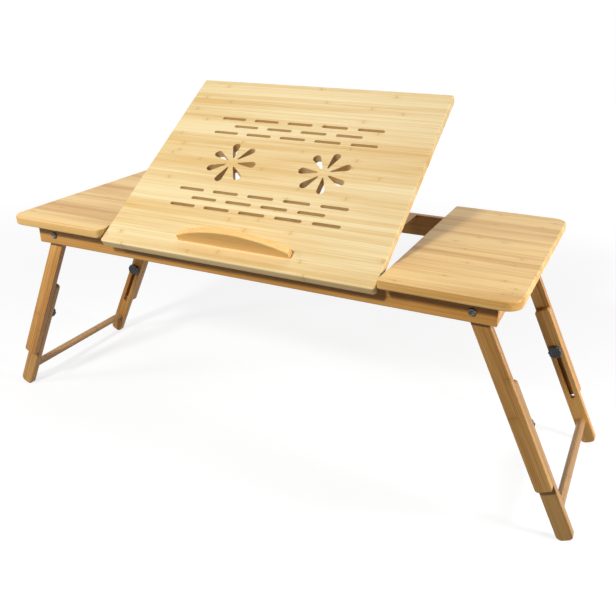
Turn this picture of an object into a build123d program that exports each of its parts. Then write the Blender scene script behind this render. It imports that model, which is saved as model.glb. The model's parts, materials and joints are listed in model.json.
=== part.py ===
from build123d import *
import math
import os

os.makedirs("parts", exist_ok=True)

# Bamboo laptop table, in millimetres. X runs along the table, Y away from the user, Z up from
# the floor. It is shown with the panel tilted up and the legs swung out and pulled to full length.

# Table top
top_length = 720.0
top_depth = 330.0
board_t = 12.0
panel_w = 396.0  # the tilting panel in the middle
panel_gap = 2.0  # air between it and each side panel
rest_gap = 0.2  # air under it when it lies flat
side_corner_r = 20.0
panel_corner_r = 4.0
arris_r = 2.0

# Rails under the top
overhang = 25.0
rail_l = 666.0
rail_t = 9.0
rail_h = 31.0
end_rail_t = 10.0
rail_arris_r = 1.5

# Legs: upper slat on the pivot bolt, lower slat sliding on its inner side
lean = 25.5  # degrees from upright
slat_w = 21.0
slat_t = 10.0
slat_gap = 0.3
slat_arris_r = 1.2
slat_end_r = 4.0
foot_r = 7.0
leg_reach = 316.5  # pivot to foot
upper_l = 241.0  # pivot to the lower end of the upper slat
slot_in = 63.5  # lower slat above its slot
slot_out = 77.0  # lower slat below its slot
pivot_up = 13.5  # pivot above the rail's lower edge
stop_gap = 0.2
fold_clear = 1.0  # above a folded leg
foot_bar_d = 12.0
foot_bar_up = 35.5  # foot bar above the end of the leg
foot_bar_socket = 6.0

# Leg pivot bolts and clamp knobs
bolt_d = 6.0
bolt_head_d = 9.0
bolt_head_h = 2.2
bolt_key = 4.0
bolt_key_deep = 1.5
washer_d = 13.0
washer_t = 1.2
nut_r = 5.8
nut_h = 5.0
slot_w = 6.6
slot_play = 0.2
knob_d = 19.0
knob_h = 8.0
grip_r = 1.6
grip_count = 10
knob_arris_r = 0.8
stud_in_knob = 5.0
insert_d = 9.0
insert_l = 8.0
end_air = 1.0  # past the end of a stud or bolt
run_fit = 0.05  # radial air at a turning pin
seat_fit = 0.01  # radial air at a fixed pin
face_gap = 0.1

# Tilt pivot and prop
tilt = 33.0
pin_back = 23.0  # tilt axis behind the front edge
pin_d = 5.0
pin_l = 25.0
pin_washer_d = 10.0
pin_washer_t = 1.6
wire_d = 5.0
wire_bend_r = 6.0
prop_at = 140.0  # tilt axis to prop pivot, along the panel
prop_drop = 3.5  # prop pivot below the panel's underside
prop_x = 130.0
prop_end_x = 110.0
prop_lean = 97.0  # degrees down from the rearward horizontal
prop_foot_down = 14.0  # centre of the prop's foot below the table top
saddle_size = (11.0, 22.0, 7.5)
saddle_x = 117.0
saddle_arris_r = 2.0
saddle_screw_sunk = 1.5

# Cross bars and the stepped blocks that the prop stands on
bar_x = 138.0
bar_w = 12.0
bar_housing = 4.0
block_x = 114.0
block_wall = 12.0
block_sole = 6.0
block_top_gap = 0.5  # below the flat panel
block_screw_in = 6.0
step_run = 13.0
step_drop = 10.0
step_count = 3

# Vents and ledge of the tilting panel
slot_l = 39.0
vent_w = 5.0
slot_pitch = 53.4
slot_rows = 14.5
slot_group = 70.0  # group centre from the panel's middle
flower_x = 70.0
petal_count = 7
petal_in = 9.0
petal_out = 37.0
petal_r = 5.6
petal_tip_r = 1.2
ledge_l = 162.0
ledge_t = 9.0
ledge_back = 22.0  # behind the front edge
ledge_end_h = 10.0
ledge_mid_h = 28.5
ledge_arris_r = 1.5
screw_sunk = 0.2  # head below the panel's underside

# Dowels and wood screws: diameter, length, head diameter, head height
dowel_d = 5.0
dowel_l = 18.0
dowel_in_board = 8.0
dowel_from_gap = (25.0, 85.0)  # rail dowels, from the side panel's inner edge
end_dowel_y = 60.0
tie_in_end = 10.0  # end rail dowels
tie_in_rail = 6.0
tie_heights = (0.25, 0.75)  # as shares of the rail's height
ledge_screw = (3.5, 26.0, 7.0, 2.2)
saddle_screw = (2.5, 12.0, 4.6, 1.4)
block_screw = (3.0, 18.0, 5.6, 1.8)
drive_w = 0.8  # cross cut in a screw's head

# Heights and places that follow from the sizes above
slope = math.radians(lean)
half_w = slat_w / 2
pivot_z = (leg_reach - foot_r) * math.cos(slope) + (half_w - foot_r) * math.sin(slope) + foot_r
rail_z0 = pivot_z - pivot_up
rail_z1 = rail_z0 + rail_h
top_z = rail_z1 + board_t
rail_y1 = top_depth / 2 - overhang
rail_y0 = rail_y1 - rail_t
end_x1 = rail_l / 2
end_x0 = end_x1 - end_rail_t
pivot_x = end_x0 - stop_gap - pivot_up * math.tan(slope) - half_w / math.cos(slope)
side_x0 = panel_w / 2 + panel_gap
side_x1 = top_length / 2
upper_y1 = rail_y0 - slat_gap
upper_y0 = upper_y1 - slat_t
lower_y1 = upper_y0 - slat_gap
lower_y0 = lower_y1 - slat_t
travel = leg_reach - upper_l
clamp_at = upper_l - slot_out  # pivot to clamp stud
lower_l = slot_in + travel + slot_out
axis_y = pin_back - top_depth / 2
axis_z = top_z - board_t / 2
under = board_t / 2 - rest_gap  # panel's underside below the tilt axis


def box(x0, x1, y0, y1, z0, z1):
    middle = ((x0 + x1) / 2, (y0 + y1) / 2, (z0 + z1) / 2)
    return Pos(*middle) * Box(x1 - x0, y1 - y0, z1 - z0)


def rod_x(d, x0, x1, y=0.0, z=0.0):
    return Pos((x0 + x1) / 2, y, z) * Rot(0, 90, 0) * Cylinder(d / 2, x1 - x0)


def rod_y(d, y0, y1, x=0.0, z=0.0):
    return Pos(x, (y0 + y1) / 2, z) * Rot(90, 0, 0) * Cylinder(d / 2, y1 - y0)


def rod_z(d, z0, z1, x=0.0, y=0.0):
    return Pos(x, y, (z0 + z1) / 2) * Cylinder(d / 2, z1 - z0)


def slab_x(profile, x0, x1):
    """A profile drawn in Y and Z, thick from x0 to x1."""
    return extrude(Plane.YZ.offset(x0) * profile, x1 - x0)


def slab_y(profile, y0, y1):
    """A profile drawn in X and Z, thick from y0 to y1."""
    return extrude(Plane.XZ.offset(-y1) * profile, y1 - y0)


def soften(part, axis, r):
    """Round the outlines of the two faces at the ends of an axis."""
    faces = part.faces().sort_by(axis)
    return fillet(faces[0].edges() + faces[-1].edges(), r)


def flip_x(part):
    return mirror(part, about=Plane.YZ)


def flip_y(part):
    return mirror(part, about=Plane.XZ)


def group(parts):
    return Compound(children=list(parts))


def screw(size, grow=0.0):
    """Countersunk wood screw pointing down, its head's top at the origin."""
    d, length, head_d, head_h = size
    r = d / 2 + grow
    head = Pos(0, 0, -head_h / 2) * Cone(r, head_d / 2 + grow, head_h)
    part = head + rod_z(2 * r, -length - grow, -head_h)
    if grow == 0:
        for turn in (0, 90):
            part -= Rot(0, 0, turn) * Box(head_d / 2, drive_w, head_h)
    return part


def on_leg(part):
    """From the leg's own frame, pivot at the origin and leg along -Z, to the right front leg."""
    return Pos(pivot_x, 0, pivot_z) * Rot(0, -lean, 0) * part


def on_panel(part):
    """From the flat panel's frame, tilt axis along X at the origin, to the tilted panel."""
    return Pos(0, axis_y, axis_z) * Rot(tilt, 0, 0) * part


nodes = {}

# Side panels, with blind holes for the dowels and the tilt pin
dowel_spots = []
for x in dowel_from_gap:
    for y in (-1, 1):
        dowel_spots.append((side_x0 + x, y * (rail_y0 + rail_t / 2)))
for y in (-end_dowel_y, end_dowel_y):
    dowel_spots.append((end_x0 + end_rail_t / 2, y))
dowel_z0 = rail_z1 + dowel_in_board - dowel_l
dowel_z1 = rail_z1 + dowel_in_board


def dowel_holes():
    return [rod_z(dowel_d + 2 * seat_fit, dowel_z0, dowel_z1, *spot) for spot in dowel_spots]


side = box(side_x0, side_x1, -top_depth / 2, top_depth / 2, rail_z1, top_z)
side = fillet(side.edges().filter_by(Axis.Z).group_by(Axis.X)[-1], side_corner_r)
side = fillet(side.edges().filter_by(Axis.Z).group_by(Axis.X)[0], panel_corner_r)
side = soften(side, Axis.Z, arris_r)
side -= dowel_holes()
pin_x0 = panel_w / 2 + panel_gap / 2 - pin_l / 2
pin_x1 = pin_x0 + pin_l
side -= rod_x(pin_d + 2 * seat_fit, pin_x0, pin_x1, axis_y, axis_z)
nodes["right_side_panel"] = side
nodes["left_side_panel"] = flip_x(side)

dowels = [rod_z(dowel_d, dowel_z0, dowel_z1, *spot) for spot in dowel_spots]
nodes["panel_dowels"] = group(dowels + [flip_x(dowel) for dowel in dowels])

pin = rod_x(pin_d, pin_x0, pin_x1, axis_y, axis_z)
nodes["tilt_pins"] = group([pin, flip_x(pin)])
spacer_x = panel_w / 2 + (panel_gap - pin_washer_t) / 2
spacer = rod_x(pin_washer_d, spacer_x, spacer_x + pin_washer_t, axis_y, axis_z)
spacer -= rod_x(pin_d + 2 * seat_fit, spacer_x, spacer_x + pin_washer_t, axis_y, axis_z)
nodes["tilt_spacers"] = group([spacer, flip_x(spacer)])

# Front and rear rails, drilled for the leg bolts and dowels, with housings for the cross bars
bar_h = rail_h - pivot_up - half_w - fold_clear
bar_z0 = rail_z1 - bar_h
tie_spots = [rail_z0 + rail_h * share for share in tie_heights]
tie_x = end_x0 + end_rail_t / 2
tie_y0 = rail_y0 - tie_in_end
tie_y1 = rail_y0 + tie_in_rail


def tie_holes():
    return [rod_y(dowel_d + 2 * seat_fit, tie_y0, tie_y1, tie_x, z) for z in tie_spots]


rail = box(-end_x1, end_x1, rail_y0, rail_y1, rail_z0, rail_z1)
rail = fillet(rail.edges().filter_by(Axis.X).group_by(Axis.Z)[0], rail_arris_r)
half_cuts = tie_holes()
half_cuts.append(rod_y(bolt_d + 2 * seat_fit, rail_y0, rail_y1, pivot_x, pivot_z))
half_cuts.append(
    box(bar_x - face_gap, bar_x + bar_w + face_gap, rail_y0, rail_y0 + bar_housing, bar_z0, rail_z1)
)
half_cuts += dowel_holes()
rail -= half_cuts
rail -= [flip_x(cut) for cut in half_cuts]
nodes["rear_rail"] = rail
nodes["front_rail"] = flip_y(rail)

end_rail = box(end_x0, end_x1, -rail_y0, rail_y0, rail_z0, rail_z1)
end_rail = fillet(end_rail.edges().filter_by(Axis.Y).group_by(Axis.Z)[0], rail_arris_r)
end_rail -= tie_holes()
end_rail -= [flip_y(hole) for hole in tie_holes()]
end_rail -= dowel_holes()
nodes["right_end_rail"] = end_rail
nodes["left_end_rail"] = flip_x(end_rail)

ties = [rod_y(dowel_d, tie_y0, tie_y1, tie_x, z) for z in tie_spots]
ties += [flip_y(tie) for tie in ties]
nodes["end_rail_dowels"] = group(ties + [flip_x(tie) for tie in ties])

# Prop: where its pivot and foot are with the panel tilted up
rise = math.radians(tilt)
drop = under + prop_drop
prop_y = axis_y + prop_at * math.cos(rise) + drop * math.sin(rise)
prop_z = axis_z + prop_at * math.sin(rise) - drop * math.cos(rise)
foot_z = top_z - prop_foot_down
prop_l = (prop_z - foot_z) / math.sin(math.radians(prop_lean))
foot_y = prop_y + prop_l * math.cos(math.radians(prop_lean))

# Stepped blocks: each step has a wall in front of the foot and is open behind it
wall_y = foot_y - wire_d / 2 - 2 * face_gap
tread_y = foot_y - 2 * face_gap
tread_z = foot_z - wire_d / 2 - 3 * face_gap
sole_z = tread_z - (step_count - 1) * step_drop - block_sole
wall_top = rail_z1 - block_top_gap
outline = [(wall_y - block_wall, sole_z), (wall_y - block_wall, wall_top), (wall_y, wall_top)]
outline.append((wall_y, tread_z))
for step in range(step_count):
    outline.append((tread_y + step * step_run, tread_z - step * step_drop))
    if step < step_count - 1:
        outline.append((tread_y + step * step_run, tread_z - (step + 1) * step_drop))
outline.append((tread_y + (step_count - 1) * step_run, sole_z))
block = slab_x(make_face(Polyline(*outline, close=True)), block_x, bar_x)
ear_y0 = wall_y - block_wall
ear_y1 = tread_y + step_run
block += box(bar_x, bar_x + bar_w, ear_y0, ear_y1, sole_z, bar_z0)

bar = box(bar_x, bar_x + bar_w, -rail_y0 - bar_housing, rail_y0 + bar_housing, bar_z0, rail_z1)
block_screws = []
for y in (ear_y0 + block_screw_in, ear_y1 - block_screw_in):
    place = Pos(bar_x + bar_w / 2, y, rail_z1)
    block_screws.append(place * screw(block_screw))
    hole = place * screw(block_screw, seat_fit)
    bar -= hole
    block -= hole
nodes["right_cross_bar"] = bar
nodes["left_cross_bar"] = flip_x(bar)
nodes["right_step_block"] = block
nodes["left_step_block"] = flip_x(block)
nodes["step_block_screws"] = group(block_screws + [flip_x(part) for part in block_screws])

# Tilting panel with its vents, drawn flat about the tilt axis
back = top_depth - pin_back
middle = back - top_depth / 2


def petal():
    """Teardrop along +X, narrow end towards the flower's centre."""
    near = petal_in + petal_tip_r
    far = petal_out - petal_r
    turn = math.asin((petal_r - petal_tip_r) / (far - near))
    corners = []
    for at, r in ((near, petal_tip_r), (far, petal_r)):
        corners.append((at - r * math.sin(turn), r * math.cos(turn)))
    corners += [(x, -y) for x, y in reversed(corners)]
    web = make_face(Polyline(*corners, close=True))
    return web + Pos(near, 0) * Circle(petal_tip_r) + Pos(far, 0) * Circle(petal_r)


vents = Sketch()
for side_of_panel in (-1, 1):
    for index in range(petal_count):
        turn = 360 * index / petal_count + (180 if side_of_panel > 0 else 0)
        vents += Pos(side_of_panel * flower_x, middle) * Rot(0, 0, turn) * petal()
    for row, count in ((-1, 5), (0, 4), (1, 5)):
        for index in range(count):
            x = (index - (count - 1) / 2) * slot_pitch
            y = middle + side_of_panel * slot_group + row * slot_rows
            vents += Pos(x, y) * SlotOverall(slot_l, vent_w)

panel = box(-panel_w / 2, panel_w / 2, -pin_back, back, -under, board_t / 2)
panel = fillet(panel.edges().filter_by(Axis.Z), panel_corner_r)
panel = soften(panel, Axis.Z, arris_r)
panel -= extrude(Pos(0, 0, -board_t) * vents, 2 * board_t)
bore = rod_x(pin_d + 2 * run_fit, pin_x0 - end_air, panel_w / 2)
panel -= [bore, flip_x(bore)]

# Ledge: a strip with an arched top, standing on the panel
ledge_y0 = ledge_back - pin_back
half_l = ledge_l / 2
base = board_t / 2
left_end = (-half_l, base + ledge_end_h)
right_end = (half_l, base + ledge_end_h)
rim = Polyline(right_end, (half_l, base), (-half_l, base), left_end)
arch = ThreePointArc(left_end, (0, base + ledge_mid_h), right_end)
ledge = slab_y(make_face(rim + arch), ledge_y0, ledge_y0 + ledge_t)
crown = [edge for edge in ledge.edges() if edge.geom_type == GeomType.CIRCLE]
ledge = fillet(crown, ledge_arris_r)
ledge_screws = []
for x in (-ledge_l / 3, ledge_l / 3):
    mouth = Pos(x, ledge_y0 + ledge_t / 2, -under)
    place = mouth * Pos(0, 0, screw_sunk) * Rot(180, 0, 0)
    ledge_screws.append(on_panel(place * screw(ledge_screw)))
    hole = place * screw(ledge_screw, seat_fit)
    panel -= [hole, mouth * Cylinder(ledge_screw[2] / 2, 2 * screw_sunk)]
    ledge -= hole

# Saddles that hold the prop's ends under the panel
saddle_y, saddle_z = prop_at, -under - saddle_size[2] / 2
saddle = Pos(saddle_x, saddle_y, saddle_z) * Box(*saddle_size)
saddle = fillet(saddle.edges().filter_by(Axis.X).group_by(Axis.Z)[0], saddle_arris_r)
saddle_x0 = saddle_x - saddle_size[0] / 2
saddle -= rod_x(wire_d + 2 * run_fit, saddle_x0, saddle_x0 + saddle_size[0], prop_at, -drop)
saddle_screws = []
for y in (-1, 1):
    mouth = Pos(saddle_x, saddle_y + y * saddle_size[1] / 3, -under - saddle_size[2])
    place = mouth * Pos(0, 0, saddle_screw_sunk) * Rot(180, 0, 0)
    saddle_screws.append(place * screw(saddle_screw))
    hole = place * screw(saddle_screw, seat_fit)
    saddle -= [hole, mouth * Cylinder(saddle_screw[2] / 2 + seat_fit, 2 * saddle_screw_sunk)]
    panel -= [hole, flip_x(hole)]
nodes["tilt_panel"] = on_panel(panel)
nodes["laptop_ledge"] = on_panel(ledge)
nodes["ledge_screws"] = group(ledge_screws)
nodes["prop_saddles"] = group([on_panel(saddle), on_panel(flip_x(saddle))])
saddle_screws += [flip_x(part) for part in saddle_screws]
nodes["saddle_screws"] = group([on_panel(part) for part in saddle_screws])

# Prop bail: one bent wire, its ends turned in to the saddles
bends = [(prop_end_x, 0), (prop_x, 0), (prop_x, prop_l)]
bends += [(-x, y) for x, y in reversed(bends)]
wire = FilletPolyline(*bends, radius=wire_bend_r)
bail = sweep(Plane(origin=wire @ 0, z_dir=wire % 0) * Circle(wire_d / 2), path=wire)
nodes["prop_bail"] = Pos(0, prop_y, prop_z) * Rot(-prop_lean, 0, 0) * bail

# Leg pivot bolts with washers and nuts, right rear first
bolt_end = upper_y0 - face_gap - washer_t - face_gap - nut_h - end_air
head_y1 = rail_y1 + bolt_head_h
bolt = rod_y(bolt_head_d, rail_y1, head_y1)
bolt = fillet(bolt.edges().sort_by(Axis.Y)[-1], bolt_head_h / 2)
bolt += rod_y(bolt_d, bolt_end, rail_y1)
key = RegularPolygon(bolt_key / 2, 6, major_radius=False)
bolt -= slab_y(key, head_y1 - bolt_key_deep, head_y1)
washer_y1 = upper_y0 - face_gap
washer = rod_y(washer_d, washer_y1 - washer_t, washer_y1)
washer -= rod_y(bolt_d + 2 * seat_fit, washer_y1 - washer_t, washer_y1)
nut_y1 = washer_y1 - washer_t - face_gap
nut = slab_y(RegularPolygon(nut_r, 6), nut_y1 - nut_h, nut_y1)
nut -= rod_y(bolt_d + 2 * seat_fit, nut_y1 - nut_h, nut_y1)


def four_legs(part):
    placed = Pos(pivot_x, 0, pivot_z) * part
    right = [placed, flip_y(placed)]
    return group(right + [flip_x(copy) for copy in right])


nodes["leg_pivot_bolts"] = four_legs(bolt)
nodes["leg_pivot_washers"] = four_legs(washer)
nodes["leg_pivot_nuts"] = four_legs(nut)

# Upper slat: round head about the pivot, blind hole for the clamp's threaded insert
strip = Pos(0, -upper_l / 2) * Rectangle(slat_w, upper_l)
strip = fillet(strip.vertices().group_by(Axis.Y)[0], slat_end_r)
upper = slab_y(strip + Circle(half_w), upper_y0, upper_y1)
upper = soften(upper, Axis.Y, slat_arris_r)
upper -= rod_y(bolt_d + 2 * run_fit, upper_y0, upper_y1)
upper -= rod_y(insert_d + 2 * seat_fit, upper_y0, upper_y0 + insert_l, 0, -clamp_at)
insert = rod_y(insert_d, upper_y0, upper_y0 + insert_l, 0, -clamp_at)
insert -= rod_y(bolt_d + 2 * run_fit, upper_y0, upper_y0 + insert_l, 0, -clamp_at)

# Lower slat: long slot for the clamp stud, rounded foot, socket for the foot bar
lower_top = leg_reach - lower_l
strip = Pos(0, -lower_top - lower_l / 2) * Rectangle(slat_w, lower_l)
strip = fillet(strip.vertices().group_by(Axis.Y)[-1], slat_end_r)
strip = fillet(strip.vertices().group_by(Axis.Y)[0], foot_r)
lower = slab_y(strip, lower_y0, lower_y1)
lower = soften(lower, Axis.Y, slat_arris_r)
slot_mid = -clamp_at - travel / 2
slot = Pos(0, slot_mid) * Rot(0, 0, 90) * SlotCenterToCenter(travel + 2 * slot_play, slot_w)
lower -= slab_y(slot, lower_y0, lower_y1)
foot_bar_z = -leg_reach + foot_bar_up
socket_y = lower_y0 + foot_bar_socket
lower -= rod_y(foot_bar_d + 2 * seat_fit, lower_y0, socket_y, 0, foot_bar_z)
foot_bar = on_leg(rod_y(foot_bar_d, -socket_y, socket_y, 0, foot_bar_z))

# Clamp: washer, knob with gripped rim, stud through the slot into the insert
clamp_washer_y1 = lower_y0 - face_gap
clamp_washer = rod_y(washer_d, clamp_washer_y1 - washer_t, clamp_washer_y1, 0, -clamp_at)
clamp_washer -= rod_y(bolt_d + 2 * seat_fit, clamp_washer_y1 - washer_t, clamp_washer_y1, 0, -clamp_at)
knob_y1 = clamp_washer_y1 - washer_t - face_gap
knob_y0 = knob_y1 - knob_h
rim = Circle(knob_d / 2)
for index in range(grip_count):
    rim -= Rot(0, 0, 360 * index / grip_count) * Pos(knob_d / 2 + grip_r / 2, 0) * Circle(grip_r)
knob = slab_y(rim, knob_y0, knob_y1)
knob = fillet(knob.faces().sort_by(Axis.Y)[0].edges(), knob_arris_r)
stud_y0 = knob_y1 - stud_in_knob
stud_y1 = upper_y0 + insert_l - end_air
knob = Pos(0, 0, -clamp_at) * knob
knob -= rod_y(bolt_d + 2 * seat_fit, stud_y0, knob_y1, 0, -clamp_at)
stud = rod_y(bolt_d, stud_y0, stud_y1, 0, -clamp_at)

inserts = [on_leg(insert), flip_y(on_leg(insert))]
nodes["right_inserts"] = group(inserts)
nodes["left_inserts"] = group([flip_x(part) for part in inserts])
nodes["right_foot_bar"] = foot_bar
nodes["left_foot_bar"] = flip_x(foot_bar)
leg_parts = {
    "upper_slat": upper,
    "lower_slat": lower,
    "clamp_washer": clamp_washer,
    "clamp_knob": knob,
    "clamp_stud": stud,
}
for name, part in leg_parts.items():
    placed = on_leg(part)
    nodes["right_rear_" + name] = placed
    nodes["right_front_" + name] = flip_y(placed)
    nodes["left_rear_" + name] = flip_x(placed)
    nodes["left_front_" + name] = flip_x(flip_y(placed))

for name, part in nodes.items():
    part.label = name
    export_step(part, "parts/" + name + ".step")
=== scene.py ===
import json
import math

import bpy
import numpy as np
from mathutils import Matrix, Vector


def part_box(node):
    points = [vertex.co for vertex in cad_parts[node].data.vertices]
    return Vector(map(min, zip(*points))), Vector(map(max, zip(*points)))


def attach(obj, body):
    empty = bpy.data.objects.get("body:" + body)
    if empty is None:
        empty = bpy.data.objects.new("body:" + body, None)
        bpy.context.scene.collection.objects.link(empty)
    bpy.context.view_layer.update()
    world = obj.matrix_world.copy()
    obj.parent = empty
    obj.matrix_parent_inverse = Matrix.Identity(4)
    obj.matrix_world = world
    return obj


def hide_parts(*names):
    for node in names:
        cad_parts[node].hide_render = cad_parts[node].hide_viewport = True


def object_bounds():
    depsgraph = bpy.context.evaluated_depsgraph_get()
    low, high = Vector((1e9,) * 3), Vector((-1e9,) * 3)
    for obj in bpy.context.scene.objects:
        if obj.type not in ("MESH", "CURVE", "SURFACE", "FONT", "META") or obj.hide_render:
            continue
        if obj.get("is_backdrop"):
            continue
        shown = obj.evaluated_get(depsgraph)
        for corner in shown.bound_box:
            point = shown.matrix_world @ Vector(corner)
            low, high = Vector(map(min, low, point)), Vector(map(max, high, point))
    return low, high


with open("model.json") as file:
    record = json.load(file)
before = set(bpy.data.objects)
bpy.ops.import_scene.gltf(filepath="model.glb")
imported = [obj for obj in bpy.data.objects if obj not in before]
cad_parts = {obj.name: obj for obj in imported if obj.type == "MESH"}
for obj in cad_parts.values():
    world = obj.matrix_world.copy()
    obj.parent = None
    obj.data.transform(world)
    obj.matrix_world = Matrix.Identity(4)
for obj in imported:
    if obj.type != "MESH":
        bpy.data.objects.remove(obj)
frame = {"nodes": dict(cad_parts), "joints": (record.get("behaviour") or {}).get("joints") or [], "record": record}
cad_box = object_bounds()

# Sizes shared with the solid model, in metres and radians
LEAN = math.radians(25.5)
TILT = math.radians(33.0)
PROP_LEAN = math.radians(97.0)
PROP_X = 0.130
PROP_END_X = 0.110
WIRE_R = 0.0025
WIRE_BEND = 0.0075
KNOB_R = 0.0095
GRIPS = 10
GRIP_DEPTH = 0.0009
BOLT_R = 0.003
BOLT_HEAD_R = 0.0045
BOLT_HEAD_H = 0.0022
BOLT_KEY_R = 0.002
BOLT_KEY_DEEP = 0.0015
BOLT_SHANK = 0.0267

# Sizes of the finer shapes only: rounded edges, and the small hole that the end fans close
END_EASE = 0.0012
TIP_R = 0.0002
KNOB_EASE = 0.0007
KNOB_BORE_R = 0.0035
KNOB_DISH = 0.0006
KNOB_TIP_R = 0.0003
KNOB_SIDES = 16 * GRIPS
BOLT_EASE = 0.001
SHANK_EASE = 0.0004

joint_at = {joint["name"]: np.array(joint.get("pos_m", (0, 0, 0))) for joint in frame["joints"]}


# Shapes

def eased(corners, radius, steps=6):
    """A path with its inner corners rounded: each corner b becomes the curve
    (1-t)^2 a + 2t(1-t) b + t^2 c, where a and c lie a radius away on the corner's two sides."""
    corners = np.asarray(corners, float)
    a, b, c = corners[:-2], corners[1:-1], corners[2:]
    to_a = (a - b) / np.linalg.norm(a - b, axis=1)[:, None]
    to_c = (c - b) / np.linalg.norm(c - b, axis=1)[:, None]
    t = np.linspace(0, 1, steps)[None, :, None]
    bend = b[:, None] + radius * ((1 - t) ** 2 * to_a[:, None] + t**2 * to_c[:, None])
    return np.concatenate((corners[:1], bend.reshape(-1, corners.shape[1]), corners[-1:]))


def turned_along_y(profile, x, z, facing, flute=None, key_rings=0, sides=48):
    """Rings of a turned piece about a line along Y. The profile gives the place y and the radius r of
    each ring, and a point at angle u is (x + r cos u, facing y, z + r sin u), with facing 1 or -1. A
    flute gives each ring's groove depth d and count n, which change r to r - d (1 + cos nu) / 2. The
    first rings, as many as the key rings, are six-sided: r / cos v, with v from the nearest flat."""
    u = np.linspace(0, 2 * math.pi, sides, endpoint=False)[None, :]
    y = np.broadcast_to(profile[:, :1], (len(profile), sides))
    r = np.repeat(profile[:, 1:2], sides, axis=1)
    if flute is not None:
        depth, count = flute
        r -= depth[:, None] * (1 + np.cos(count * u)) / 2
    r[:key_rings] /= np.cos((u + math.pi / 6) % (math.pi / 3) - math.pi / 6)
    rings = np.stack((x + r * np.cos(u), y * facing, z + r * np.sin(u)), axis=-1)
    towards_rear = facing * (profile[-1, 0] - profile[0, 0]) > 0
    return rings[:, ::-1] if towards_rear else rings


def tube(path, normal, radius, sides=20):
    """Rings of a round wire along a path that lies in a plane: at each point a circle of the wire's
    radius, spanned by the plane's normal and by the normal's cross product with the path's direction."""
    path = np.asarray(path)
    along = np.gradient(path, axis=0)
    along /= np.linalg.norm(along, axis=1)[:, None]
    across = np.cross(normal, along)
    u = np.linspace(0, 2 * math.pi, sides, endpoint=False)[None, :, None]
    return path[:, None] + radius * (np.cos(u) * across[:, None] + np.sin(u) * np.asarray(normal))


def skin(name, ring_sets, body, node, material):
    """A closed mesh over each set of rings: quads between neighbouring rings, and a fan from the
    middle of the first and of the last ring. It stands for a node and rides on the node's body."""
    points, faces, start = [], [], 0
    for rings in ring_sets:
        count, sides = rings.shape[:2]
        ring = np.arange(count - 1)[:, None] * sides + start
        here = np.arange(sides)[None, :]
        there = (here + 1) % sides
        quads = np.stack((ring + here, ring + there, ring + sides + there, ring + sides + here), axis=-1)
        first = start + count * sides
        last_ring = start + (count - 1) * sides
        near = np.stack((there[0] + start, here[0] + start, np.full(sides, first)), axis=-1)
        far = np.stack((last_ring + here[0], last_ring + there[0], np.full(sides, first + 1)), axis=-1)
        middles = np.stack((rings[0].mean(0), rings[-1].mean(0)))
        points.append(np.concatenate((rings.reshape(-1, 3), middles)))
        faces += quads.reshape(-1, 4).tolist() + near.tolist() + far.tolist()
        start = first + 2
    mesh = bpy.data.meshes.new(name)
    mesh.from_pydata(np.concatenate(points).tolist(), [], faces)
    mesh.polygons.foreach_set("use_smooth", np.ones(len(faces), bool))
    mesh.materials.append(material)
    piece = bpy.data.objects.new(name, mesh)
    bpy.context.scene.collection.objects.link(piece)
    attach(piece, body)
    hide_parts(node)


# Material building

# Bamboo grain: lengths in metres, noise stretches along, across and through the board
GLUE_LINE = (0.0001, 0.0005)
KNUCKLE_LINE = (0.0006, 0.0022)
KNUCKLE_HAZE = (0.0, 0.012)
KNUCKLE_BOW = 0.006
KNUCKLE_BOW_NOISE = 120.0
STRIPS_WITHOUT_KNUCKLES = 0.35
STRIP_SLIDE = 7.0
KNUCKLE_SLIDE = 9.0
STREAK_STRETCH = (2.6, 520.0, 520.0)
FIBRE_STRETCH = (30.0, 2100.0, 2100.0)
BAND_STRETCH = (1.5, 30.0, 30.0)
DOT_STRETCH = (60.0, 1500.0, 1500.0)
BAND_SHADE = 2.8
STREAK_SHADE = 2.2
FIBRE_SHADE = 0.7
MIDDLE_SHADE = 0.38
BROWNED = (0.55, 0.42, 0.32, 1.0)
SIDE_DEEPER = 0.4
HAZE_DEEPER = 0.28
LINE_BROWNER = 0.24
END_DOTS = 0.2
END_BROWNER = 0.1
ROUGH = 0.33
FIBRE_ROUGH = 0.14
END_ROUGH = 0.2
END_FACING = (0.55, 0.9)
SIDE_FACING = (0.6, 0.95)
DOT_SIZE = (0.15, 0.5)
FIBRE_HEIGHT = 0.5
STREAK_HEIGHT = 0.3
GLUE_SUNK = 0.6
KNUCKLE_HEIGHT = 0.3
BUMP = 0.25
BUMP_DEPTH = 0.0003
CUTTER_BROWN = (0.42, 0.21, 0.07, 1.0)
CUTTER_SHARE = 0.12
VARNISH_SHINE = 0.3
VARNISH_COAT = 0.06
VARNISH_ROUGH = 0.2

# Handling marks
SMEAR_TO_SPECK = 0.08
SMEAR_EDGE = (0.4, 0.7)
SMEAR_FILL = 0.3
WEAR_DEPTH = 0.0001


def add(tree, kind, inputs=None, **settings):
    """A node with its settings, and with each named or numbered input linked or set."""
    made = tree.nodes.new(kind)
    for key, value in settings.items():
        setattr(made, key, value)
    for key, value in (inputs or {}).items():
        if isinstance(value, bpy.types.NodeSocket):
            tree.links.new(value, made.inputs[key])
        else:
            made.inputs[key].default_value = value
    return made


def maths(tree, operation, *values):
    return add(tree, "ShaderNodeMath", dict(enumerate(values)), operation=operation).outputs[0]


def ramp(tree, value, low, high, to_low=0.0, to_high=1.0):
    """A smooth step from one value to another."""
    inputs = {"Value": value, "From Min": low, "From Max": high, "To Min": to_low, "To Max": to_high}
    return add(tree, "ShaderNodeMapRange", inputs, interpolation_type="SMOOTHSTEP").outputs[0]


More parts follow.
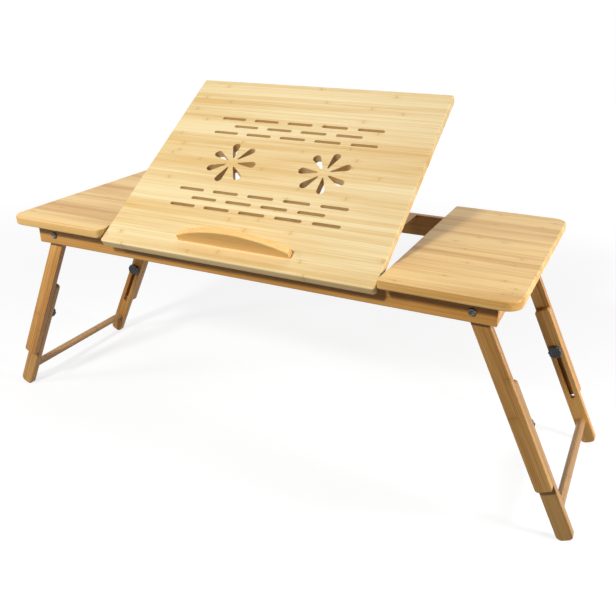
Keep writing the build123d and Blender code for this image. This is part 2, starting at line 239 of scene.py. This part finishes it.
def blended(tree, share, colour_a, colour_b, how="MIX"):
    made = add(tree, "ShaderNodeMix", data_type="RGBA", blend_type=how)
    sockets = [socket for socket in made.inputs if socket.enabled]
    for socket, value in zip(sockets, (share, colour_a, colour_b)):
        if isinstance(value, bpy.types.NodeSocket):
            tree.links.new(value, socket)
        else:
            socket.default_value = value
    return [socket for socket in made.outputs if socket.enabled][0]


def noise(tree, vector, scale, detail=2.0, roughness=0.5):
    inputs = {"Vector": vector, "Scale": scale, "Detail": detail, "Roughness": roughness}
    return add(tree, "ShaderNodeTexNoise", inputs).outputs["Fac"]


def scaled(tree, vector, sizes):
    return add(tree, "ShaderNodeVectorMath", {0: vector, 1: sizes}, operation="MULTIPLY").outputs[0]


def new_group(name, inputs, outputs):
    tree = bpy.data.node_groups.new(name, "ShaderNodeTree")
    for label, kind in inputs.items():
        tree.interface.new_socket(label, in_out="INPUT", socket_type=kind)
    for label, kind in outputs.items():
        tree.interface.new_socket(label, in_out="OUTPUT", socket_type=kind)
    source = tree.nodes.new("NodeGroupInput")
    return tree, source.outputs, tree.nodes.new("NodeGroupOutput")


def bamboo_grain():
    """Glued bamboo strips. Place has X along the fibres, Y across the strips and Z through the board.
    Each strip has its own tone and its own row of knuckles, and the glue lines are thin and dark."""
    tree, given, result = new_group(
        "bamboo grain",
        {
            "Place": "NodeSocketVector",
            "Facing": "NodeSocketVector",
            "Strip Width": "NodeSocketFloat",
            "Knuckle Spacing": "NodeSocketFloat",
            "Tone Spread": "NodeSocketFloat",
            "Streaks": "NodeSocketFloat",
            "Glue Line": "NodeSocketFloat",
            "Pale": "NodeSocketColor",
            "Deep": "NodeSocketColor",
        },
        {"Color": "NodeSocketColor", "Roughness": "NodeSocketFloat", "Height": "NodeSocketFloat"},
    )
    place = given["Place"]
    along, across, _ = add(tree, "ShaderNodeSeparateXYZ", {0: place}).outputs

    # Strips: number, own random values, distance to the nearest glue line
    strips = maths(tree, "DIVIDE", across, given["Strip Width"])
    strip = maths(tree, "FLOOR", strips)
    chance = add(tree, "ShaderNodeTexWhiteNoise", {"W": strip}, noise_dimensions="1D")
    tone = chance.outputs["Value"]
    shift = add(tree, "ShaderNodeSeparateColor", {0: chance.outputs["Color"]}).outputs[1]
    from_middle = maths(tree, "ABSOLUTE", maths(tree, "SUBTRACT", maths(tree, "FRACT", strips), 0.5))
    to_glue = maths(tree, "MULTIPLY", maths(tree, "SUBTRACT", 0.5, from_middle), given["Strip Width"])
    glue = ramp(tree, to_glue, *GLUE_LINE, 1.0, 0.0)

    # Fibres: noise drawn out along the strip, moved by a different amount in each strip
    slide = add(tree, "ShaderNodeCombineXYZ", {0: maths(tree, "MULTIPLY", tone, STRIP_SLIDE)}).outputs[0]
    own_place = add(tree, "ShaderNodeVectorMath", {0: place, 1: slide}).outputs[0]
    streak = noise(tree, scaled(tree, own_place, STREAK_STRETCH), 1.0, 5.0, 0.7)
    fibre = noise(tree, scaled(tree, own_place, FIBRE_STRETCH), 1.0, 3.0, 0.6)
    band = noise(tree, scaled(tree, place, BAND_STRETCH), 1.0, 4.0, 0.6)

    # Knuckles: on some strips only, a short dark line with a brown haze on each side
    bow = maths(tree, "MULTIPLY", noise(tree, own_place, KNUCKLE_BOW_NOISE), KNUCKLE_BOW)
    steps = maths(tree, "DIVIDE", maths(tree, "ADD", along, bow), given["Knuckle Spacing"])
    steps = maths(tree, "ADD", steps, maths(tree, "MULTIPLY", shift, KNUCKLE_SLIDE))
    off_line = maths(tree, "ABSOLUTE", maths(tree, "SUBTRACT", maths(tree, "FRACT", steps), 0.5))
    off_line = maths(tree, "MULTIPLY", off_line, given["Knuckle Spacing"])
    knotty = maths(tree, "GREATER_THAN", tone, STRIPS_WITHOUT_KNUCKLES)
    line = maths(tree, "MULTIPLY", knotty, ramp(tree, off_line, *KNUCKLE_LINE, 1.0, 0.0))
    haze = maths(tree, "MULTIPLY", knotty, ramp(tree, off_line, *KNUCKLE_HAZE, 1.0, 0.0))

    # End grain: dark dots of fibre ends on the faces that cut the strips across
    to_end, to_side, _ = add(tree, "ShaderNodeSeparateXYZ", {0: given["Facing"]}).outputs
    end_on = ramp(tree, maths(tree, "ABSOLUTE", to_end), *END_FACING)
    side_on = ramp(tree, maths(tree, "ABSOLUTE", to_side), *SIDE_FACING)
    dots_at = scaled(tree, place, DOT_STRETCH)
    dots = add(tree, "ShaderNodeTexVoronoi", {"Vector": dots_at, "Scale": 1.0}).outputs["Distance"]
    dots = ramp(tree, dots, *DOT_SIZE, 1.0, 0.0)

    # Shade: strip, bands, streaks and fibres move the colour between the pale and the deep one
    shade = maths(tree, "MULTIPLY", maths(tree, "SUBTRACT", tone, 0.5), given["Tone Spread"])
    for part, weight in ((band, BAND_SHADE), (streak, STREAK_SHADE), (fibre, FIBRE_SHADE)):
        amount = maths(tree, "MULTIPLY", maths(tree, "SUBTRACT", part, 0.5), weight)
        shade = maths(tree, "MULTIPLY_ADD", amount, given["Streaks"], shade)
    shade = add(tree, "ShaderNodeClamp", {0: maths(tree, "ADD", shade, MIDDLE_SHADE)}).outputs[0]
    colour = blended(tree, shade, given["Pale"], given["Deep"])
    brown = blended(tree, 1.0, given["Deep"], BROWNED, "MULTIPLY")
    colour = blended(tree, maths(tree, "MULTIPLY", side_on, SIDE_DEEPER), colour, given["Deep"])
    colour = blended(tree, maths(tree, "MULTIPLY", haze, HAZE_DEEPER), colour, given["Deep"])
    colour = blended(tree, maths(tree, "MULTIPLY", line, LINE_BROWNER), colour, brown)
    colour = blended(tree, maths(tree, "MULTIPLY", glue, given["Glue Line"]), colour, brown)
    dotted = maths(tree, "MULTIPLY_ADD", dots, END_DOTS, END_BROWNER)
    cut = maths(tree, "MULTIPLY", end_on, dotted)
    colour = blended(tree, cut, colour, brown)

    rough = maths(tree, "ADD", maths(tree, "MULTIPLY", fibre, FIBRE_ROUGH), ROUGH)
    rough = maths(tree, "ADD", rough, maths(tree, "MULTIPLY", end_on, END_ROUGH))

    # Height: fibres and streaks, sunk at the glue lines and raised at the knuckles
    height = maths(tree, "MULTIPLY", fibre, FIBRE_HEIGHT)
    height = maths(tree, "ADD", height, maths(tree, "MULTIPLY", streak, STREAK_HEIGHT))
    height = maths(tree, "SUBTRACT", height, maths(tree, "MULTIPLY", glue, GLUE_SUNK))
    height = maths(tree, "ADD", height, maths(tree, "MULTIPLY", line, KNUCKLE_HEIGHT))
    for label, socket in (("Color", colour), ("Roughness", rough), ("Height", height)):
        tree.links.new(socket, result.inputs[label])
    return tree


def speckle_wear():
    """Fine handling marks: specks and soft smears, as one mask and one height."""
    tree, given, result = new_group(
        "speckle wear",
        {"Place": "NodeSocketVector", "Grain": "NodeSocketFloat"},
        {"Mask": "NodeSocketFloat", "Height": "NodeSocketFloat"},
    )
    fine = noise(tree, given["Place"], given["Grain"], 3.0, 0.6)
    smear_grain = maths(tree, "MULTIPLY", given["Grain"], SMEAR_TO_SPECK)
    broad = noise(tree, given["Place"], smear_grain, 3.0)
    smears = ramp(tree, broad, *SMEAR_EDGE)
    mask = maths(tree, "MULTIPLY", smears, maths(tree, "ADD", fine, SMEAR_FILL))
    tree.links.new(mask, result.inputs["Mask"])
    tree.links.new(fine, result.inputs["Height"])
    return tree


GRAIN = bamboo_grain()
WEAR = speckle_wear()


def new_material(name):
    material = bpy.data.materials.new(name)
    material.use_nodes = True
    tree = material.node_tree
    return material, tree, tree.nodes["Principled BSDF"]


def give_bump(tree, shader, height, strength, distance):
    bump = add(tree, "ShaderNodeBump", {"Height": height, "Strength": strength, "Distance": distance})
    tree.links.new(bump.outputs[0], shader.inputs["Normal"])


def bamboo(name, along, across, pale, deep, start=(0.0, 0.0, 0.0), strip=0.0066, spacing=0.27,
           spread=0.4, streaks=1.0, glue=0.12, cut_area=None):
    """Bamboo whose fibres run along one direction of the piece and whose strips lie side by side
    across another. The cut area gives middle and half size, along and across, of the part of the
    board whose cut walls are browned by the cutter."""
    material, tree, shader = new_material(name)
    along, across = Vector(along), Vector(across)
    turn = Matrix((along, across, along.cross(across))).to_euler()
    given = add(tree, "ShaderNodeTexCoord").outputs
    at = {"Vector": given["Object"], "Location": start, "Rotation": turn}
    place = add(tree, "ShaderNodeMapping", at, vector_type="POINT").outputs[0]
    facing = add(
        tree, "ShaderNodeMapping", {"Vector": given["Normal"], "Rotation": turn}, vector_type="VECTOR"
    ).outputs[0]
    grain = add(tree, "ShaderNodeGroup", node_tree=GRAIN)
    for label, socket in (("Place", place), ("Facing", facing)):
        tree.links.new(socket, grain.inputs[label])
    values = {
        "Strip Width": strip,
        "Knuckle Spacing": spacing,
        "Tone Spread": spread,
        "Streaks": streaks,
        "Glue Line": glue,
    }
    for label, value in values.items():
        grain.inputs[label].default_value = value
    grain.inputs["Pale"].default_value = (*pale, 1.0)
    grain.inputs["Deep"].default_value = (*deep, 1.0)
    colour = grain.outputs["Color"]
    if cut_area:
        x, y, _ = add(tree, "ShaderNodeSeparateXYZ", {0: place}).outputs
        wall = maths(tree, "ABSOLUTE", add(tree, "ShaderNodeSeparateXYZ", {0: facing}).outputs[2])
        browned = ramp(tree, wall, 0.1, 0.5, CUTTER_SHARE, 0.0)
        for value, (middle, half) in zip((x, y), cut_area):
            off = maths(tree, "ABSOLUTE", maths(tree, "SUBTRACT", value, middle))
            browned = maths(tree, "MULTIPLY", browned, maths(tree, "LESS_THAN", off, half))
        colour = blended(tree, browned, colour, CUTTER_BROWN)
    tree.links.new(colour, shader.inputs["Base Color"])
    tree.links.new(grain.outputs["Roughness"], shader.inputs["Roughness"])
    give_bump(tree, shader, grain.outputs["Height"], BUMP, BUMP_DEPTH)
    shader.inputs["Specular IOR Level"].default_value = VARNISH_SHINE
    shader.inputs["Coat Weight"].default_value = VARNISH_COAT
    shader.inputs["Coat Roughness"].default_value = VARNISH_ROUGH
    return material


def plain(name, base, worn, metallic, rough, worn_rough, grain, bump):
    """Metal or moulded plastic with fine marks: colour and roughness move to the worn ones in them."""
    material, tree, shader = new_material(name)
    place = add(tree, "ShaderNodeTexCoord").outputs["Object"]
    wear = add(tree, "ShaderNodeGroup", node_tree=WEAR)
    tree.links.new(place, wear.inputs["Place"])
    wear.inputs["Grain"].default_value = grain
    mask = wear.outputs["Mask"]
    colour = blended(tree, mask, (*base, 1.0), (*worn, 1.0))
    tree.links.new(colour, shader.inputs["Base Color"])
    tree.links.new(ramp(tree, mask, 0.0, 1.0, rough, worn_rough), shader.inputs["Roughness"])
    shader.inputs["Metallic"].default_value = metallic
    give_bump(tree, shader, wear.outputs["Height"], bump, WEAR_DEPTH)
    return material


# Finishes

# Palest and deepest colour of each kind of piece
# The tilt panel's colours are the boards' bamboo made paler and less saturated: partly its own colour, partly
# painted sheen and light on the tilted face
PANEL_PALE_WITH_SHEEN = (0.84, 0.68, 0.375)
PANEL_DEEP_WITH_SHEEN = (0.66, 0.40, 0.115)
BOARD_PALE = (0.87, 0.59, 0.23)
BOARD_DEEP = (0.60, 0.31, 0.07)
LEDGE_PALE = (0.97, 0.64, 0.25)
LEDGE_DEEP = (0.80, 0.45, 0.13)
RAIL_PALE = (0.66, 0.34, 0.085)
RAIL_DEEP = (0.40, 0.165, 0.025)
STRIP_PALE = (0.72, 0.40, 0.12)
STRIP_DEEP = (0.40, 0.165, 0.028)
BAR_PALE = (0.52, 0.31, 0.13)
BAR_DEEP = (0.33, 0.17, 0.06)

# Slats painted lighter or darker than the others: painted light on the left front upper slat, painted shade on the
# right front slats, deepest on the lower one below the upper slat's end
SLAT_PAINTED_LIGHT = {"left_front_upper": 1.18, "right_front_upper": 0.8, "right_front_lower": 0.62}

METAL_MARKS = {"metallic": 1.0, "worn_rough": 0.5, "grain": 1400.0, "bump": 0.1}
PLASTIC_MARKS = {"metallic": 0.0, "worn_rough": 0.6, "grain": 2600.0, "bump": 0.25}
steel = plain("steel", (0.56, 0.56, 0.57), (0.40, 0.39, 0.38), rough=0.28, **METAL_MARKS)
brass = plain("brass", (0.60, 0.42, 0.14), (0.42, 0.28, 0.10), rough=0.3, **METAL_MARKS)
# Steel painted darker as shade: the pivot bolt heads sit in the shadow that the boards' front edges cast on the
# rails
shade_darkened_steel = plain("shade darkened steel", (0.11, 0.107, 0.10), (0.07, 0.067, 0.064), rough=0.3, **METAL_MARKS)
black_plastic = plain(
    "black plastic", (0.018, 0.017, 0.019), (0.032, 0.03, 0.032), rough=0.42, **PLASTIC_MARKS
)

X, Y, Z = (1, 0, 0), (0, 1, 0), (0, 0, 1)
PANEL_UP = (0, math.cos(TILT), math.sin(TILT))
SIDES = {"left": -1, "right": 1}
LEG_DOWN = {side: (way * math.sin(LEAN), 0, -math.cos(LEAN)) for side, way in SIDES.items()}
LEG_OUT = {side: (math.cos(LEAN), 0, way * math.sin(LEAN)) for side, way in SIDES.items()}

# Widths of the glued strips, and middle and half size of the vents along and across the panel. Each
# piece's start moves it to a place of its own in the grain
LEDGE_STRIP = 0.012
RAIL_STRIP = 0.0155
SLAT_STRIP = 0.0145
ROUND_STRIP = 0.02
SLAT_KNUCKLES = 0.21
BOARD_GRAIN = {"spread": 0.25, "streaks": 1.5}
RAIL_GRAIN = {"strip": RAIL_STRIP, "glue": 0.3}
SLAT_GRAIN = {"strip": SLAT_STRIP, "spacing": SLAT_KNUCKLES, "streaks": 1.5, "glue": 0.3}
VENTS = ((0.31, 0.17), (0.207, 0.135))

finish = {
    "tilt_panel": bamboo("bamboo tilt panel", X, PANEL_UP, PANEL_PALE_WITH_SHEEN, PANEL_DEEP_WITH_SHEEN, (0.31, 0.008, 0.0),
                         streaks=0.85, cut_area=VENTS),
    "right_side_panel": bamboo("bamboo right panel", X, Y, BOARD_PALE, BOARD_DEEP, (0.07, 0.355, 0.0),
                               **BOARD_GRAIN),
    "left_side_panel": bamboo("bamboo left panel", X, Y, BOARD_PALE, BOARD_DEEP, (0.57, 0.81, 0.0),
                              **BOARD_GRAIN),
    "laptop_ledge": bamboo("bamboo ledge", X, PANEL_UP, LEDGE_PALE, LEDGE_DEEP, (0.2, 0.3, 0.0),
                           strip=LEDGE_STRIP),
}
for order, rail in enumerate(("front_rail", "rear_rail")):
    start = (0.4 * order, 0.004, 0.0)
    finish[rail] = bamboo("bamboo " + rail, X, Z, RAIL_PALE, RAIL_DEEP, start, **RAIL_GRAIN)
running_back = ("left_end_rail", "right_end_rail", "left_cross_bar", "right_cross_bar", "left_step_block",
                "right_step_block")
for order, name in enumerate(running_back):
    start = (0.17 * order, 0.31 * order, 0.0)
    finish[name] = bamboo("bamboo " + name, Y, Z, RAIL_PALE, RAIL_DEEP, start, **RAIL_GRAIN)
for order, side in enumerate(SIDES):
    for place, end in enumerate(("front", "rear")):
        for step, slat in enumerate(("upper", "lower")):
            start = (0.13 * step + 0.29 * place, 0.006 + 0.21 * (4 * order + 2 * place + step), 0.0)
            # Scale the slat's colours by its painted light or shade
            tone = SLAT_PAINTED_LIGHT.get(f"{side}_{end}_{slat}", 1.0)
            pale = [tone * value for value in STRIP_PALE]
            deep = [tone * value for value in STRIP_DEEP]
            finish[f"{side}_{end}_{slat}_slat"] = bamboo(
                f"bamboo {side} {end} {slat} slat", LEG_DOWN[side], LEG_OUT[side], pale, deep, start,
                **SLAT_GRAIN)
    start = (0.0, 0.4 + 0.5 * order, 0.0)
    finish[side + "_foot_bar"] = bamboo(
        f"bamboo {side} foot bar", Y, LEG_OUT[side], BAR_PALE, BAR_DEEP, start, strip=ROUND_STRIP)
dowel_wood = bamboo("bamboo dowels", Y, Z, STRIP_PALE, STRIP_DEEP, strip=ROUND_STRIP)

by_slot = {"steel": steel, "brass": brass, "black_plastic": black_plastic, "bamboo_strip": dowel_wood}
slot_of = {part["node"]: part["material_slot"] for part in frame["record"]["subparts"]}
for name, node_object in frame["nodes"].items():
    node_object.data.materials.clear()
    node_object.data.materials.append(finish.get(name) or by_slot[slot_of[name]])


# Round pieces

def foot_bar(side):
    """A straight dowel along Y with eased ends."""
    low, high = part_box(side + "_foot_bar")
    r = (high.x - low.x) / 2
    profile = eased([(low.y, TIP_R), (low.y, r), (high.y, r), (high.y, TIP_R)], END_EASE)
    rings = turned_along_y(profile, (low.x + high.x) / 2, (low.z + high.z) / 2, 1)
    skin(side + "_foot_rod", [rings], side + "_foot", side + "_foot_bar",
         finish[side + "_foot_bar"])


def clamp_knob(side, end, facing):
    """A knob turned from one profile: flat back, fluted rim, cap and shallow dish. It faces the middle
    of the table, and its flutes fade out below eight tenths of its radius."""
    name = f"{side}_{end}_clamp_knob"
    low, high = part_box(name)
    inner, outer = sorted((abs(low.y), abs(high.y)))
    height = outer - inner
    flat_r = KNOB_R * 0.8
    back = [(outer, KNOB_BORE_R), (outer, flat_r)]
    rim = [(outer - 0.15 * height, KNOB_R), (inner + 0.12 * height, KNOB_R)]
    cap = [(inner, KNOB_R * 0.84), (inner, KNOB_R * 0.62)]
    dish = [(inner + KNOB_DISH, KNOB_R * 0.5), (inner + KNOB_DISH, KNOB_TIP_R)]
    profile = eased(back + rim + cap + dish, KNOB_EASE)
    fluted = np.clip((profile[:, 1] - flat_r) / (KNOB_R * 0.2), 0, 1)
    rings = turned_along_y(profile, (low.x + high.x) / 2, (low.z + high.z) / 2, facing,
                           (GRIP_DEPTH * fluted, GRIPS), sides=KNOB_SIDES)
    skin(f"{side}_{end}_knob_cap", [rings], f"{side}_{end}_knob", name, black_plastic)


def pivot_bolts():
    """Domed bolts, each one turned profile: out of the six-sided key hole, over the dome and along the
    shank."""
    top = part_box("leg_pivot_bolts")[1].y
    seat = top - BOLT_HEAD_H
    floor_of_key = top - BOLT_KEY_DEEP
    tip = seat - BOLT_SHANK
    hole = [(floor_of_key, TIP_R), (floor_of_key, BOLT_KEY_R)]
    dome = [(top, BOLT_KEY_R), (top, BOLT_HEAD_R), (seat, BOLT_HEAD_R), (seat, BOLT_R)]
    shank = [(tip + SHANK_EASE, BOLT_R), (tip, BOLT_R - SHANK_EASE)]
    profile = np.concatenate((hole, eased(dome, BOLT_EASE), shank))
    bolts = []
    for side in SIDES:
        x, _, z = joint_at[side + "_leg_fold"]
        bolts += [turned_along_y(profile, x, z, facing, key_rings=len(hole) + 1)
                  for facing in (-1, 1)]
    # The bolts take the steel painted darker as shade
    skin("pivot_bolts", bolts, "frame", "leg_pivot_bolts", shade_darkened_steel)


def prop_wire():
    """A wire bail in one plane: two ends turned in to the saddles, two sides and a foot between them."""
    _, y, z = joint_at["prop_fold"]
    down = np.array((0, math.cos(PROP_LEAN), -math.sin(PROP_LEAN)))
    length = (z - WIRE_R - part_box("prop_bail")[0].z) / math.sin(PROP_LEAN)
    pivot = np.array((0, y, z))
    right = np.array(X)
    foot = length * down
    corners = [PROP_END_X * right, PROP_X * right, PROP_X * right + foot, foot - PROP_X * right,
               -PROP_X * right, -PROP_END_X * right]
    rings = tube(pivot + eased(corners, WIRE_BEND, steps=9), np.cross(right, down), WIRE_R)
    skin("prop_wire", [rings], "prop", "prop_bail", steel)


for side in SIDES:
    foot_bar(side)
    clamp_knob(side, "front", -1)
    clamp_knob(side, "rear", 1)
pivot_bolts()
prop_wire()


# Floor, light and camera

FLOOR_HALF = 30.0
FLOOR_WHITE_NEAR = 0.75
FLOOR_WHITE_FAR = 1.0
FLOOR_NEAR = 0.6
FLOOR_FAR = 2.2
FLOOR_BOUNCE = (0.12, 0.12, 0.12, 1.0)
FLOOR_SHADOWED = (0.28, 0.28, 0.28, 1.0)
WHITE = (1.0, 1.0, 1.0, 1.0)
SKY = 0.05
CAMERA_AT = (0.462056, -0.873038, 0.615994)
CAMERA_DOWN = 0.418478
CAMERA_TURN = 0.455689
LENS = 42.2286
SENSOR = 36.0


def floor():
    """A pale floor that shows the camera mostly its own white, and the object's shadow over it."""
    mesh = bpy.data.meshes.new("floor")
    corners = [(x * FLOOR_HALF, y * FLOOR_HALF, 0) for x, y in ((-1, -1), (1, -1), (1, 1), (-1, 1))]
    mesh.from_pydata(corners, [], [(0, 1, 2, 3)])
    material = bpy.data.materials.new("floor")
    material.use_nodes = True
    tree = material.node_tree
    tree.nodes.clear()
    place = add(tree, "ShaderNodeTexCoord").outputs["Object"]
    away = add(tree, "ShaderNodeVectorMath", {0: place}, operation="LENGTH").outputs["Value"]
    glow = ramp(tree, away, FLOOR_NEAR, FLOOR_FAR, FLOOR_WHITE_NEAR, FLOOR_WHITE_FAR)
    bounce = add(tree, "ShaderNodeBsdfDiffuse", {"Color": FLOOR_BOUNCE}).outputs[0]
    shadowed = add(tree, "ShaderNodeBsdfDiffuse", {"Color": FLOOR_SHADOWED}).outputs[0]
    white = add(tree, "ShaderNodeEmission", {"Color": WHITE, "Strength": glow}).outputs[0]
    seen = add(tree, "ShaderNodeAddShader", {0: shadowed, 1: white}).outputs[0]
    mixed = add(tree, "ShaderNodeMixShader", {0: seen_directly(tree), 1: bounce, 2: seen}).outputs[0]
    add(tree, "ShaderNodeOutputMaterial", {"Surface": mixed})
    mesh.materials.append(material)
    piece = bpy.data.objects.new("floor", mesh)
    bpy.context.scene.collection.objects.link(piece)
    piece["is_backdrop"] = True


def seen_directly(tree):
    """One for rays from the camera, and for those that mirrors and glass send on."""
    path = add(tree, "ShaderNodeLightPath").outputs
    seen = maths(tree, "MAXIMUM", path["Is Camera Ray"], path["Is Glossy Ray"])
    return maths(tree, "MAXIMUM", seen, path["Is Transmission Ray"])


def sky(strength):
    """An even grey light from all round, which the camera sees as white."""
    world = bpy.data.worlds.new("studio")
    world.use_nodes = True
    tree = world.node_tree
    tree.nodes.clear()
    level = ramp(tree, seen_directly(tree), 0.0, 1.0, strength, 1.0)
    light = add(tree, "ShaderNodeBackground", {"Color": WHITE, "Strength": level}).outputs[0]
    add(tree, "ShaderNodeOutputWorld", {"Surface": light})
    bpy.context.scene.world = world


def lamp(name, place, aim, size, power):
    data = bpy.data.lights.new(name, "AREA")
    data.shape = "DISK"
    data.size = size
    data.energy = power
    piece = bpy.data.objects.new(name, data)
    piece.location = place
    piece.rotation_euler = (Vector(aim) - Vector(place)).to_track_quat("-Z", "Y").to_euler()
    bpy.context.scene.collection.objects.link(piece)


def camera():
    data = bpy.data.cameras.new("camera")
    data.lens = LENS
    data.sensor_width = SENSOR
    piece = bpy.data.objects.new("camera", data)
    piece.location = CAMERA_AT
    piece.rotation_euler = (math.pi / 2 - CAMERA_DOWN, 0, CAMERA_TURN)
    bpy.context.scene.collection.objects.link(piece)
    bpy.context.scene.camera = piece


floor()
sky(SKY)
lamp("key", (-0.22, -1.42, 1.26), (0.0, 0.0, 0.28), 0.2, 20.5)
lamp("left side", (-1.0, -0.9, 0.85), (-0.3, 0.0, 0.25), 0.3, 4.6)
lamp("overhead", (-0.15, 0.25, 1.5), (0.0, 0.0, 0.3), 1.0, 4.2)
lamp("right side", (1.15, -0.05, 0.4), (0.38, 0.0, 0.17), 0.3, 9.0)
lamp("behind", (0.8, 1.5, 1.7), (0.0, 0.0, 0.25), 0.8, 12.0)
camera()
bpy.context.scene.view_settings.view_transform = "Standard"

sizes = {"cad": cad_box, "visual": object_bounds()}
sizes = {name: [list(corner) for corner in box] for name, box in sizes.items()}
